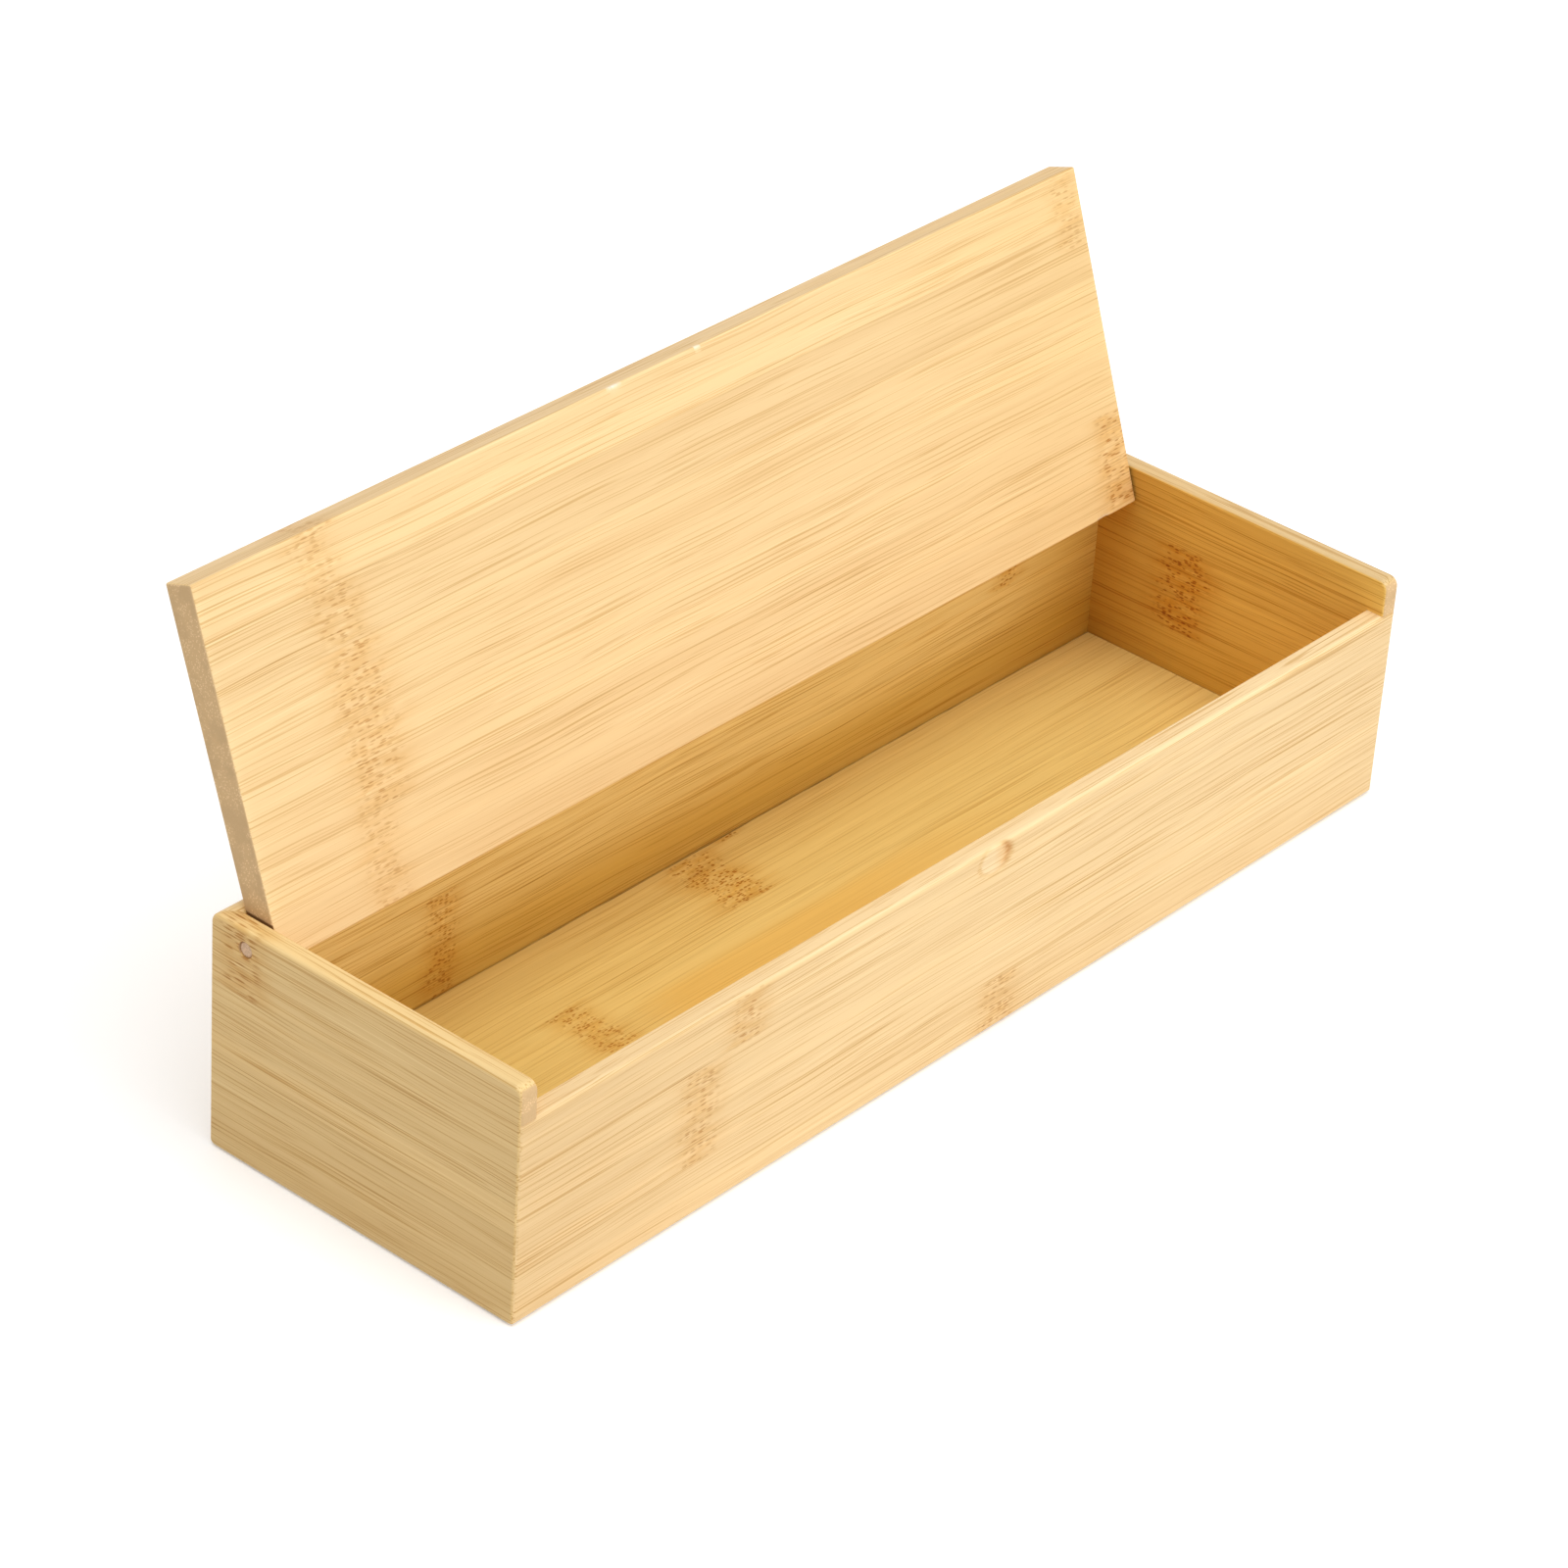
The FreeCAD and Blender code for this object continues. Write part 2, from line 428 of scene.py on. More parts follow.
def chipped(sections, station, depth):
    """The lid's sections with chips cut in the long edges of the face that shows, and how pale they are."""
    across, through = np.moveaxis(sections, -1, 0)
    pale = []
    for edge, inward, chips in ((depth, -1, LID_TOP_CHIPS), (0, 1, LID_LOWER_CHIPS)):
        from_edge = np.hypot(across - edge, through)
        deep = chip_field(station, chips)
        cut = deep * np.clip(1 - from_edge / CHIP_REACH, 0, 1) ** HOLLOW_POWER
        sections = sections + cut[..., None] * np.array([CHIP_SLANT * inward, -1])
        pale.append(deep * bell(from_edge, CHIP_PALE_REACH) / CHIP_PALE_DEPTH)
    return sections, np.max(pale, axis=0)


def lid_wear_and_highlight(sections, station, lid):
    """Where the lid is worn and lightened as painted highlight, from 0 to 1: along its long edges, and
    round the edges of its ends.
    """
    across, through = np.moveaxis(sections, -1, 0)
    to_sides = np.stack([across, lid.depth - across, -through, through + lid.thickness])
    nearest, second = np.sort(to_sides, axis=0)[:2]
    long_edges = np.exp(-np.maximum(nearest, 0)) * bell(second, WEAR_AND_HIGHLIGHT_REACH)
    from_end = lid.length / 2 - np.abs(station)
    return np.maximum(long_edges, bell(from_end, WEAR_AND_HIGHLIGHT_REACH) * (from_end > SAME_PLACE))


def lid_surface(lid):
    """The lid as rings along its length.

    A rounded rectangle is carried along X. At each end it is drawn in by the edge round, then crosses the
    flat end to the dowel's bore, point by point at the same angle about the bore, and goes down the bore to
    its floor. Chips cut the upper and lower long edges of the face that shows.
    """
    half = lid.length / 2
    x, inset = lid_stations(half, lid.edge_round)
    station = x[:, None]
    shapes, which = np.unique(inset.round(6), return_inverse=True)
    plain = lid_outlines(lid, shapes)[which]
    # Worn edges, later lightened both as real rubbing and as painted highlight
    wear_and_highlight = lid_wear_and_highlight(plain, station, lid)
    sections, pale = chipped(plain, station, lid.depth)

    bore = np.array([LID_REAR_TO_DOWEL / MM, -lid.thickness / 2])
    spokes = sections[0] - bore
    angle = np.arctan2(spokes[:, 1], spokes[:, 0])
    circle = bore + lid.bore_radius * np.stack([np.cos(angle), np.sin(angle)], -1)
    floor_x = half - lid.bore_depth
    x = np.concatenate([[-floor_x, -half], x, [half, floor_x]])
    sections = np.concatenate([[circle, circle], sections, [circle, circle]])
    rings = np.concatenate([np.broadcast_to(x[:, None, None], sections.shape[:2] + (1,)), sections], -1)
    bore_rings = ((2, 2), (0, 0))
    return rings, {"wear_and_highlight": np.pad(wear_and_highlight, bore_rings), "chip": np.pad(pale, bore_rings)}


def front_section(front):
    """The front board's outline across and through it, with eased edges and the floor's groove."""
    inner = -front.thickness
    groove_floor = inner + front.groove_depth
    inner_top = front.height - front.inner_round
    outer_top = front.height - front.outer_round
    lower = front.lower_round
    return np.concatenate([
        [(0, inner)],
        run((0, inner), (front.groove_low, inner), 3),
        [(front.groove_low, inner), (front.groove_low, groove_floor)],
        [(front.groove_high, groove_floor), (front.groove_high, inner)],
        run((front.groove_high, inner), (inner_top, inner), 16),
        arc((inner_top, inner + front.inner_round), front.inner_round, 270, 360, CORNER_POINTS),
        run((front.height, inner + front.inner_round), (front.height, -front.outer_round), 5),
        arc((outer_top, -front.outer_round), front.outer_round, 0, 90, WIDE_CORNER_POINTS),
        run((outer_top, 0), (KNOT_LOW, 0), 24),
        [(KNOT_LOW, 0)],
        run((KNOT_LOW, 0), (lower, 0), 16),
        arc((lower, -lower), lower, 90, 180, WIDE_CORNER_POINTS),
        run((0, -lower), (0, inner), 4),
    ])


def front_rings(section, half, corner_round):
    """Places along and through the front board, carrying its section along X to the mitre planes.

    The outer face first turns in round the upright corner, up to 45 degrees: depth = r - r cos a and
    place = end - r + r sin a.
    """
    depth = -section[:, 1]
    coarse = np.linspace(-1, 1, FRONT_RINGS)
    fine = KNOT_RING_PLACES / (half - corner_round)
    share = np.unique(np.concatenate([coarse, fine]).round(6))[:, None]
    body_end = np.minimum(half - corner_round, half - depth - corner_round / 2)
    body_x = share * body_end
    turn = np.radians(np.linspace(0, 45, MITRE_RINGS + 1))[1:, None]
    round_x = half - corner_round + corner_round * np.sin(turn)
    round_depth = corner_round * (1 - np.cos(turn))
    mitre_x = body_end + (half - depth - body_end) * np.arange(1, MITRE_RINGS + 1)[:, None] / MITRE_RINGS
    at_corner = depth < corner_round * (1 - math.cos(math.radians(45)))
    end_x = np.where(at_corner, round_x, mitre_x)
    end_depth = np.where(at_corner, np.maximum(depth, round_depth), depth)
    x = np.concatenate([-end_x[::-1], body_x, end_x])
    through = -np.concatenate([end_depth[::-1], np.broadcast_to(depth, body_x.shape), end_depth])
    return x, through


def knot_fields(x, across):
    """The bud knot, each from 0 to 1: its rim, its eye, and a blush and a crescent scar at its right."""
    u = (x - KNOT_MIDDLE[0]) / KNOT_HALF[0]
    v = (across - KNOT_MIDDLE[1]) / KNOT_HALF[1]
    distance = np.hypot(u, v)
    ring = bell(distance - 1, RIM_WIDTH)
    eye = np.clip(EYE_SLOPE * (EYE_EDGE - distance), 0, 1)
    blush = eye * np.clip((u - BLUSH_START) / BLUSH_LENGTH, 0, 1)
    to_right = np.clip((u - SCAR_START) / SCAR_LENGTH, 0, 1)
    smooth_right = to_right ** 2 * (3 - 2 * to_right)
    upper = np.clip(SCAR_TILT + SCAR_TILT * v, SCAR_LEAST, 1)
    scar = bell(distance - SCAR_PLACE, SCAR_WIDTH) * smooth_right * upper
    return ring, eye, blush, scar


def front_surface(front):
    """The front board as rings along its length, with the bud knot sunk into its outer face."""
    half = front.length / 2
    section = front_section(front)
    x, through = front_rings(section, half, front.corner_round)
    up = np.broadcast_to(section[:, 0], x.shape)
    facing = np.clip(1 + through / front.outer_round, 0, 1)
    ring, eye, blush, scar = (field * facing for field in knot_fields(x, up))
    through = through - front.knot_depth * np.clip(KNOT_RIM_DEPTH * ring + scar, 0, 1)

    to_face = np.minimum(-through, through + front.thickness)
    # Worn edges at the top, the upright corners and the lower edge, later lightened as real rubbing and
    # painted highlight
    top_wear_and_highlight = bell(front.height - up, FRONT_EDGE_REACH) * bell(to_face, WEAR_AND_HIGHLIGHT_REACH)
    corner_wear_and_highlight = bell(half - np.abs(x), FRONT_CORNER_REACH) * facing
    lower_wear_and_highlight = bell(up, FRONT_EDGE_REACH) * bell(through, FRONT_EDGE_REACH)
    wear_and_highlight = np.max([top_wear_and_highlight, corner_wear_and_highlight, lower_wear_and_highlight], axis=0)
    attributes = {"wear_and_highlight": wear_and_highlight, "knot_ring": ring, "knot_eye": eye, "knot_blush": blush, "knot_scar": scar}
    return np.stack([x, up, through], -1), attributes


# Finishes

class Fibre(NamedTuple):
    """A kind of fibre noise: its size along and across the grain, and how it shows.

    It starts to show at one value of the noise and is whole at another. Two more give its share at each.
    """
    along: float
    across: float
    shows: tuple = ()
    strength: float = 1.0
    detail: float = 1.0
    roughness: float = 0.5


class Layer(NamedTuple):
    """A tint, and how much of it is laid on."""
    tint: tuple
    strength: float = 1.0


class ShadeFade(NamedTuple):
    """A painted shade: a darker tint that grows from one place along the grain to another, towards one end
    of the board.
    """
    start: float
    stop: float
    tint: tuple


class WarmPatch(NamedTuple):
    """A warm patch: for its two sides along and two across, where each starts and where it is whole."""
    along: tuple
    across: tuple


class InnerFace(NamedTuple):
    """The face that looks into the box: its sign through the board, its colour, and that of its foot.

    The foot's colour takes over from one place across to another. The inner colour is the inside as lit in
    the box, and the foot's colour is painted shade down at the floor.
    """
    side: int
    colour: tuple
    foot_shade_colour: tuple
    foot_span: tuple


class Look(NamedTuple):
    """How one board looks.

    Seams lie between its glued strips. Dash is the size of a node's dashes along and across, lines the
    strength of its fibres, and the seed sets it apart from other boards. Only some boards have the rest:
    seam lines of grime and painted shade lie at places across, and cut ends get painted shade below a
    height over the part's base.
    """
    axes: BoardAxes
    colour: tuple
    bands: tuple
    seams: tuple
    dash: tuple
    lines: float
    seed: int
    inner: InnerFace = None
    warm_patch: WarmPatch = None
    # Seam lines darkened as grime and as painted shade in the seam
    grime_and_shade_seams: tuple = ()
    # A painted shade that darkens the board towards one end
    fade: ShadeFade = None
    # Tint of the long edge faces: their side-grain tone and painted light
    long_edge_grain_and_light_tint: tuple = (1.05, 1.09, 1.17)
    # Height below which cut ends get painted shade, standing in for the shadow in a narrow gap
    painted_gap_shade_below: float = None
    knot: bool = False


# Fibres of the boards, of their cut ends and of the dowels
WANDER = Fibre(70, 30)
BROAD = Fibre(190, 8, detail=2)
MIDDLE = Fibre(130, 2.2, shows=(0.5, 0.68), strength=0.2)
THIN = Fibre(85, 0.4, shows=(0.56, 0.66), strength=1.5)
HAIR = Fibre(30, 0.34, shows=(0.6, 0.68), strength=1.1)
PALE = Fibre(60, 0.42, shows=(0.4, 0.3))
CROWD = Fibre(110, 11, shows=(0.36, 0.62, 0.65, 1.05))
WOBBLE = Fibre(60, 3.2, detail=2, roughness=0.65)
SMUDGE = Fibre(7, 2.2, shows=(0.35, 0.62, 0.4, 1.0))
# Patchy noise of the seam lines of grime and painted shade
SEAM_GRIME_AND_SHADE = Fibre(14, 40, shows=(0.36, 0.62, 0.35, 0.9), detail=2)
HATCH = Fibre(3.5, 0.5, shows=(0.36, 0.6, 0.45, 1.0))
END_GROUND = Fibre(5, 6, shows=(0.4, 0.58), detail=2)
DOWEL_FIBRE = Fibre(9, 0.35, shows=(0.42, 0.66), detail=2)

# Tints that are laid over a board's colour
STRIP_TONE = Layer((0.95, 0.95, 0.95))
LIGHT_STREAK = Layer((1.05, 1.05, 1.05))
PALE_LINE = Layer((1.12, 1.18, 1.28))
PALE_DASH = Layer((1.1, 1.16, 1.22), 0.9)
WARMTH = Layer((1.0, 0.84, 0.52), 0.62)
# Lighter eased and worn edges: real rubbing and painted highlight
EDGE_WEAR_AND_HIGHLIGHT = Layer((1.06, 1.08, 1.1), 0.6)
BUNDLE = Layer((1.26, 1.34, 1.5))
KNOT_EYE = Layer((1.05, 1.1, 1.22))
KNOT_RIM = Layer((0.9, 0.8, 0.62), 0.55)
KNOT_BLUSH = Layer((0.93, 0.72, 0.46))

# Strengths of the layers that have their colour from the settings, and shades of those colours
BOARD_LIFT = 1.02
DARK_STREAK_STRENGTH = 0.35
SEAM_STRENGTH = 0.3
STAIN_STRENGTH = 0.75
DARK_DASH_STRENGTH = 0.85
# Strength and darkness of the painted gap shade on the lid's cut ends, and darkness of the seam lines of
# grime and painted shade
GAP_SHADE_STRENGTH = 0.85
SEAM_GRIME_AND_SHADE_TONE = 0.7
GAP_SHADE_TONE = 0.4
SCAR_SHADE = 1.25
END_GROUND_SHADES = (0.95, 1.04)
DOWEL_SHADES = (1.08, 0.82)
DOWEL_RIM_SHADE = 0.62
DOWEL_RIM_STRENGTH = 0.25
CHIP_COLOUR = (0.95, 0.87, 0.72, 1)
WHITE = (1, 1, 1, 1)

# Where a share starts to grow and where it is whole: how squarely a face looks one way, then lengths in mm
SIDE_FACING = (0.5, 0.9)
CUT_END_FACING = (0.62, 0.85)
# Rounded faces, which are lightened as painted highlight
EASED_FACING = (0.985, 0.84)
SEAM_WIDTH = (0.3, 0.05)
# Width of the seam lines of grime and painted shade
SEAM_GRIME_AND_SHADE_WIDTH = (0.22, 0.05)
# Margins round the height below which the lid's cut ends get painted shade
GAP_SHADE_EDGE = (0.1, -0.35)
DOWEL_RIM = (1.3, 2.0)

# The same for a band's core and stain in half widths, for cells and the lot each draws, and for noise
CORE_SPAN = (1.15, 0.5)
STAIN_SPAN = (2.0, 0.3)
DASH_CELL = (0.54, 0.26)
DARK_LOT = (0.34, 0.5)
PALE_LOT = (0.34, 0.2)
LIGHT_STREAK_NOISE = (0.5, 0.7)
DARK_STREAK_NOISE = (0.5, 0.3)
BUNDLE_CELL = (0.45, 0.15)
BUNDLE_GROUND = (0.42, 0.54, 0.15, 1.0)

# Shifts and sizes of the patterns in mm
WANDER_REACH = 1.2
WOBBLE_REACH = 5.5
STRIP_SHIFT = 173.0
BAND_END = 0.7
BUNDLE_SIZE = (6, 0.55)

# Gloss and relief
ROUGHNESS_NOISE = (0.3, 0.7)
ROUGHNESS_SWING = (-0.06, 0.08)
BARE_ROUGHNESS = 0.15
BUMP_STRENGTH = 0.5
PALE_HEIGHT = 0.7
HAIR_HEIGHT = 0.5
DASH_DEPTH = 0.4
BOARD_SPECULAR = 0.3
DOWEL_ROUGHNESS = 0.6
DOWEL_SPECULAR = 0.25


def shade(colour, factor=1.0):
    """A linear colour with its alpha, made lighter or darker."""
    return tuple(min(1.0, channel * factor) for channel in colour) + (1.0,)


class Nodes:
    """The node tree of a material or a world, with a short method for each kind of node that both use."""

    def __init__(self, owner):
        owner.use_nodes = True
        self.tree = owner.node_tree
        self.tree.nodes.clear()

    def node(self, kind, inputs, **settings):
        """The outputs of a new node. Its inputs are set to values or linked to other outputs."""
        made = self.tree.nodes.new("ShaderNode" + kind)
        for key, value in settings.items():
            setattr(made, key, value)
        for key, value in inputs.items():
            if isinstance(value, bpy.types.NodeSocket):
                self.tree.links.new(value, made.inputs[key])
            else:
                made.inputs[key].default_value = value
        return made.outputs

    def maths(self, operation, *values):
        return self.node("Math", dict(enumerate(values)), operation=operation)[0]

    def times(self, *values):
        return reduce(partial(self.maths, "MULTIPLY"), values)

    def most(self, values):
        return reduce(partial(self.maths, "MAXIMUM"), values)

    def step(self, value, low, high, to_low=0.0, to_high=1.0):
        """A smooth step: to_low at low, to_high at high. Low may be above high."""
        inputs = {"Value": value, "From Min": low, "From Max": high, "To Min": to_low, "To Max": to_high}
        return self.node("MapRange", inputs, interpolation_type="SMOOTHSTEP")[0]

    def seen(self):
        """1 for what is seen, straight, in a reflection or through a clear piece, and 0 for what lights."""
        path = self.node("LightPath", {})
        return self.most([path["Is Camera Ray"], path["Is Glossy Ray"], path["Is Transmission Ray"]])


class Finish(Nodes):
    """The nodes of a new material, with what only materials use."""

    def __init__(self, name):
        self.material = bpy.data.materials.new(name)
        self.settings = bpy.context.scene.cutlery_box.bamboo
        super().__init__(self.material)

    def parts(self, vector):
        return self.node("SeparateXYZ", {0: vector})

    def point_in_mm(self, location=(0, 0, 0), rotation=(0, 0, 0)):
        """The object's own coordinates, turned and then moved, in mm."""
        coords = self.node("TexCoord", {})["Object"]
        place = {"Vector": coords, "Location": location, "Rotation": rotation, "Scale": [1 / MM] * 3}
        return self.node("Mapping", place)[0]

    def facing(self, rotation):
        """The three parts of the direction that the surface looks in, turned."""
        coords = self.node("TexCoord", {})["Normal"]
        turned = {"Vector": coords, "Rotation": rotation}
        return self.parts(self.node("Mapping", turned, vector_type="VECTOR")[0])

    def scaled(self, point, along, across):
        """A point divided by a size along the grain and one across and through it."""
        inputs = {0: point, 1: (1 / along, 1 / across, 1 / across)}
        return self.node("VectorMath", inputs, operation="MULTIPLY")[0]

    def fibres(self, point, fibre):
        """Noise drawn out along the grain."""
        inputs = {
            "Vector": self.scaled(point, fibre.along, fibre.across),
            "Scale": 1.0, "Detail": fibre.detail, "Roughness": fibre.roughness,
        }
        return self.node("TexNoise", inputs)[0]

    def shown(self, point, fibre):
        """How much of a kind of fibre shows, times its strength."""
        return self.times(self.step(self.fibres(point, fibre), *fibre.shows), fibre.strength)

    def cells(self, point, along, across):
        """Cells drawn out along the grain."""
        inputs = {"Vector": self.scaled(point, along, across), "Scale": 1.0}
        return self.node("TexVoronoi", inputs)

    def swing(self, noise, reach):
        """Noise as a shift of up to a reach either way."""
        return self.maths("MULTIPLY_ADD", noise, 2 * reach, -reach)

    def near(self, value, place, far, close):
        """1 within one distance of a place, falling to 0 at another."""
        return self.step(self.maths("ABSOLUTE", self.maths("SUBTRACT", value, place)), far, close)

    def attribute(self, name):
        return self.node("Attribute", {}, attribute_name=name)["Fac"]

    def mix(self, share, first, second, blend="MIX"):
        inputs = {0: share, 6: first, 7: second}
        return self.node("Mix", inputs, data_type="RGBA", blend_type=blend)[2]

    def tint(self, paint, share, colour):
        """A colour multiplied by another, by a share from 0 to 1."""
        return self.mix(share, paint, tuple(colour) + (1.0,), "MULTIPLY")

    def lay(self, paint, share, layer):
        """A colour with a layer's tint on it, by a share of the layer's strength."""
        return self.tint(paint, self.times(share, layer.strength), layer.tint)

    def relief(self, height):
        """The surface's direction with a height as low relief."""
        inputs = {"Strength": BUMP_STRENGTH, "Distance": self.settings.relief, "Height": height}
        return self.node("Bump", inputs)[0]

    def close(self, inputs):
        """The surface shader with its sockets set or linked, joined to the output."""
        surface = self.node("BsdfPrincipled", inputs)[0]
        self.node("OutputMaterial", {"Surface": surface})
        return self.material


class Bamboo(Finish):
    """Satin bamboo: strips, long fibres, nodes with dashes, cut ends, eased edges with painted highlights,
    some painted shade, and low relief.

    Every pattern is in board millimetres. Fibres are noise drawn out along the grain, each strip starting
    elsewhere. A node is a band across the grain that wobbles from fibre to fibre.
    """

    def __init__(self, name, look):
        super().__init__(name)
        self.look = look

        # Where a point is on the board, and which of the board's faces it is on
        turn = look.axes.turn()
        angles = turn.to_euler()
        self.board = self.point_in_mm(-(turn @ look.axes.origin) / MM, angles)
        self.along, self.across, self.through = self.parts(self.board)
        self.looks = self.facing(angles)
        squarely = [self.maths("ABSOLUTE", part) for part in self.looks]
        self.cut_end = self.step(squarely[0], *CUT_END_FACING)
        self.long_edge = self.step(squarely[1], *SIDE_FACING)
        # Rounded faces, which the finish lightens as painted highlight
        self.eased = self.step(self.most(squarely), *EASED_FACING)

        # Strips: a count of the seams passed gives each its own tone and fibres
        self.strip = look.seed
        self.seam = 0.0
        for edge in look.seams:
            self.strip = self.maths("ADD", self.strip, self.maths("GREATER_THAN", self.across, edge))
            self.seam = self.maths("MAXIMUM", self.seam, self.near(self.across, edge, *SEAM_WIDTH))
        wander = self.swing(self.fibres(self.board, WANDER), WANDER_REACH)
        self.drifting = self.maths("ADD", self.across, wander)
        self.fibre = self.node("CombineXYZ", {
            0: self.maths("MULTIPLY_ADD", self.strip, STRIP_SHIFT, self.along),
            1: self.drifting,
            2: self.through,
        })[0]
        self.thin = self.fibres(self.fibre, THIN)
        self.hair = self.fibres(self.fibre, HAIR)
        self.pale = self.fibres(self.fibre, PALE)
        wobble = self.swing(self.fibres(self.fibre, WOBBLE), WOBBLE_REACH)
        self.wobbling = self.maths("ADD", self.along, wobble)

        # Nodes: some of the dashes in a band's core are darker than the board, some are paler
        self.crossings = [
            self.times(
                self.step(self.across, band.low - BAND_END, band.low + BAND_END),
                self.step(self.across, band.high + BAND_END, band.high - BAND_END),
                band.strength,
            )
            for band in look.bands
        ]
        cells = self.cells(self.fibre, *look.dash)
        dash = self.times(self.step(cells["Distance"], *DASH_CELL), self.bands(CORE_SPAN))
        lot = self.node("SeparateColor", {0: cells["Color"]})[0]
        self.dark_dash = self.times(dash, self.step(lot, *DARK_LOT))
        self.pale_dash = self.times(dash, self.step(lot, *PALE_LOT))

    def bands(self, span):
        """The board's node bands, each fading between two distances in half widths."""
        far, close = span
        shares = []
        for band, crossing in zip(self.look.bands, self.crossings):
            near = self.near(self.wobbling, band.place, far * band.half_width, close * band.half_width)
            shares.append(self.times(near, crossing))
        return self.most(shares)

    def ground(self):
        """The board's own colour, with its inner face and painted shade at its foot, its long edges, and
        painted shade along the grain.
        """
        look = self.look
        paint = shade(look.colour, BOARD_LIFT)
        faded_face = 1.0
        # Inner face: its colour as lit inside the box, turning to painted shade at its foot
        if look.inner:
            inner = look.inner
            foot = self.step(self.across, *inner.foot_span)
            colours = (shade(colour, BOARD_LIFT) for colour in (inner.colour, inner.foot_shade_colour))
            faded_face = self.step(self.times(self.looks[2], inner.side), *SIDE_FACING)
            paint = self.mix(faded_face, paint, self.mix(foot, *colours))
        # Long edge faces: a tint for their side-grain tone and for painted light
        paint = self.tint(paint, self.long_edge, look.long_edge_grain_and_light_tint)
        # Painted shade that darkens the board towards one end
        if look.fade:
            share = self.times(self.step(self.along, look.fade.start, look.fade.stop), faded_face)
            paint = self.tint(paint, share, look.fade.tint)
        return paint

    def streaked(self, paint):
        """The paint with the tones of the strips, a warm patch, and streaks and lines along the fibres."""
        share = self.settings.streak_share
        streaks = self.settings.streak_tint
        tone = self.node("TexWhiteNoise", {"W": self.strip}, noise_dimensions="1D")[0]
        paint = self.lay(paint, self.step(tone, 0, 1), STRIP_TONE)
        broad = self.fibres(self.fibre, BROAD)
        dark_streak = self.times(self.step(broad, *DARK_STREAK_NOISE), DARK_STREAK_STRENGTH, share)
        paint = self.lay(paint, self.step(broad, *LIGHT_STREAK_NOISE), LIGHT_STREAK)
        paint = self.tint(paint, dark_streak, streaks)
        if self.look.warm_patch:
            patch = self.times(
                *(self.step(self.wobbling, *side) for side in self.look.warm_patch.along),
                *(self.step(self.drifting, *side) for side in self.look.warm_patch.across),
            )
            paint = self.lay(paint, patch, WARMTH)
            share = self.step(patch, 0, 1, share, share / 2)
        lines = self.times(self.shown(self.fibre, CROWD), share, self.look.lines)
        paint = self.tint(paint, self.times(self.shown(self.fibre, MIDDLE), share), streaks)
        paint = self.lay(paint, self.times(self.step(self.pale, *PALE.shows), lines), PALE_LINE)
        for noise, fibre in ((self.thin, THIN), (self.hair, HAIR)):
            line = self.times(self.step(noise, *fibre.shows), fibre.strength, lines)
            paint = self.tint(paint, line, streaks)
        return self.tint(paint, self.times(self.seam, SEAM_STRENGTH), streaks)

    def noded(self, paint):
        """The paint with the smudged stain and the dashes of the nodes."""
        stain = self.times(self.bands(STAIN_SPAN), self.shown(self.fibre, SMUDGE), STAIN_STRENGTH)
        paint = self.tint(paint, stain, self.settings.warm_tint)
        paint = self.lay(paint, self.pale_dash, PALE_DASH)
        return self.tint(paint, self.times(self.dark_dash, DARK_DASH_STRENGTH), self.settings.node_tint)

    def end_grain(self):
        """Paint of the cut ends: pale bundles in a darker ground."""
        dark, light = (shade(self.settings.end_grain_colour, factor) for factor in END_GROUND_SHADES)
        ground = self.fibres(self.board, END_GROUND)
        bundles = self.cells(self.board, *BUNDLE_SIZE)["Distance"]
        share = self.times(self.step(bundles, *BUNDLE_CELL), self.step(ground, *BUNDLE_GROUND))
        return self.lay(self.mix(self.step(ground, *END_GROUND.shows), dark, light), share, BUNDLE)

    def edged(self, paint):
        """The paint with eased and worn edges lightened as painted highlight, seam grime with painted
        shade, cut ends with painted gap shade, and chips.
        """
        # This colour also paints the seam lines' grime and painted shade, and the painted gap shade on the
        # lid's cut ends
        scar = self.settings.scar_grime_and_shade_colour
        # Painted highlight on the rounded edges
        paint = self.lay(paint, self.eased, EDGE_WEAR_AND_HIGHLIGHT)
        # Seam lines at the floor's edges: grime, and painted shadow of the narrow seam
        for edge in self.look.grime_and_shade_seams:
            grime_and_shade = self.times(self.near(self.across, edge, *SEAM_GRIME_AND_SHADE_WIDTH), self.shown(self.board, SEAM_GRIME_AND_SHADE))
            paint = self.mix(grime_and_shade, paint, shade(scar, SEAM_GRIME_AND_SHADE_TONE))
        paint = self.mix(self.cut_end, paint, self.end_grain())
        # Painted shade: the lid's cut ends darken below the end boards' tops, standing in for the shadow in
        # the narrow gap
        if self.look.painted_gap_shade_below:
            height = self.parts(self.point_in_mm())[2]
            below = self.step(height, *(self.look.painted_gap_shade_below + margin for margin in GAP_SHADE_EDGE))
            paint = self.mix(self.times(below, self.cut_end, GAP_SHADE_STRENGTH), paint, shade(scar, GAP_SHADE_TONE))
        # Worn edges lightened: real rubbing and painted highlight
        paint = self.lay(paint, self.attribute("wear_and_highlight"), EDGE_WEAR_AND_HIGHLIGHT)
        return self.mix(self.attribute("chip"), paint, CHIP_COLOUR)

    def knotted(self, paint):
        """The paint with the bud knot, from the attributes of the front board."""
        hatch = self.shown(self.board, HATCH)
        paint = self.lay(paint, self.attribute("knot_eye"), KNOT_EYE)
        paint = self.lay(paint, self.attribute("knot_ring"), KNOT_RIM)
        paint = self.lay(paint, self.times(self.attribute("knot_blush"), hatch), KNOT_BLUSH)
        scar = shade(self.settings.scar_grime_and_shade_colour, SCAR_SHADE)
        return self.mix(self.times(self.attribute("knot_scar"), hatch), paint, scar)

